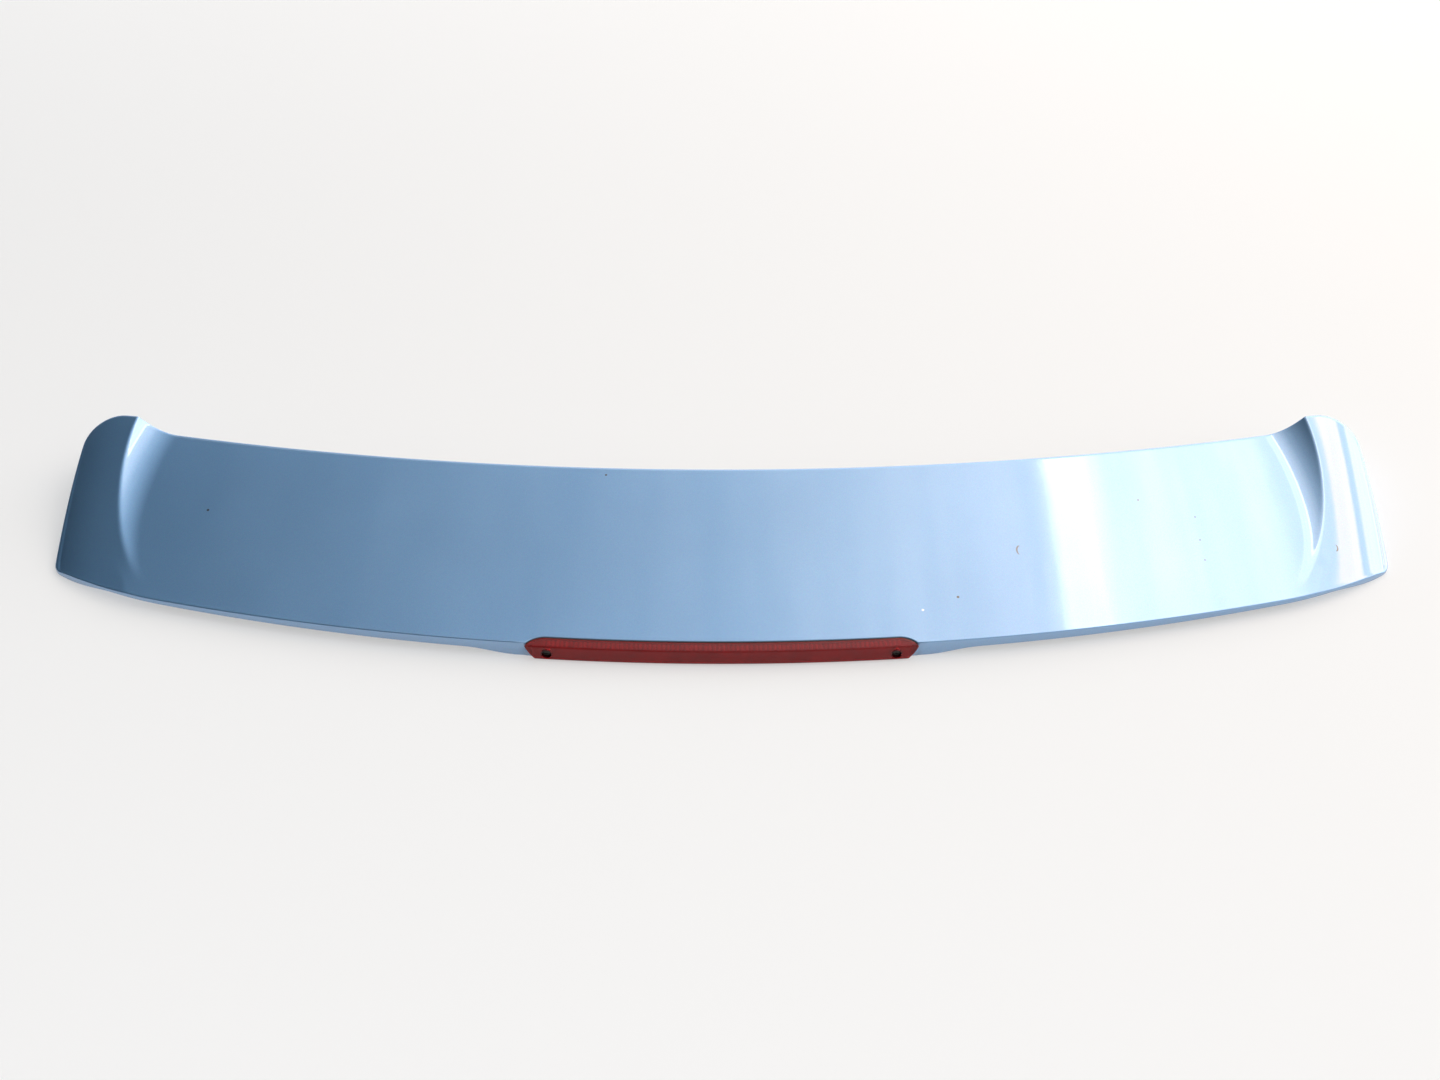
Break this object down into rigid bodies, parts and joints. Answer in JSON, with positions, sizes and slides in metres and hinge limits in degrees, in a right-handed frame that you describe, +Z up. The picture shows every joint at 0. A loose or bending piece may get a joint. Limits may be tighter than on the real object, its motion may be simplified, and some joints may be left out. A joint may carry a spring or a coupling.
{
  "type": "car rear spoiler",
  "caption": "Curved tailgate spoiler with a crowned painted skin, raised end ears, black inner panel, bolt-down studs and a red third brake lamp wrapped round its trailing edge.",
  "frame": {"origin": "centre of the bounding box on the floor that the spoiler lies on, on its lower edges", "axes": "+X along its width to the right seen from behind, +Y to the front of the car, +Z up"},
  "size_m": [1.1599, 0.2624, 0.0515],
  "materials": {
    "skin_paint": "light-blue metallic paint under clear coat, on moulded plastic",
    "panel_black": "grained black moulding",
    "lens_red": "clear red, fluted inside",
    "gasket_foam": "black foam",
    "housing_grey": "plain dark grey moulding",
    "board_green": "green circuit board",
    "reflector_silver": "metallised",
    "led_red": "clear red",
    "screw_steel": "plated",
    "stud_zinc": "zinc plated",
    "washer_foam": "grey-black closed-cell foam",
    "seal_rubber": "black rubber",
    "clip_plastic": "natural nylon"
  },
  "bodies": {
    "root": {"outer_skin": "skin_paint", "inner_panel": "panel_black", "inner_panel_left": "panel_black", "inner_panel_right": "panel_black", "lamp_lens": "lens_red", "lamp_gasket": "gasket_foam", "lamp_housing": "housing_grey", "lamp_board": "board_green", "lamp_reflector": "reflector_silver", "lamp_screws": "screw_steel", "mounting_studs": "stud_zinc", "front_edge_seal": "seal_rubber", "cable_grommet": "seal_rubber", "led_01": "led_red", "led_02": "led_red", "led_03": "led_red", "led_04": "led_red", "led_05": "led_red", "led_06": "led_red", "led_07": "led_red", "led_08": "led_red", "led_09": "led_red", "led_10": "led_red", "led_11": "led_red", "led_12": "led_red", "led_13": "led_red", "led_14": "led_red", "led_15": "led_red", "led_16": "led_red", "stud_washer_1": "washer_foam", "stud_washer_2": "washer_foam", "stud_washer_3": "washer_foam", "stud_washer_4": "washer_foam", "lamp_nut_left": "screw_steel", "ear_bracket_left": "panel_black", "ear_clip_left": "clip_plastic", "foam_pad_left": "washer_foam", "lamp_nut_right": "screw_steel", "ear_bracket_right": "panel_black", "ear_clip_right": "clip_plastic", "foam_pad_right": "washer_foam"}
  },
  "joints": []
}
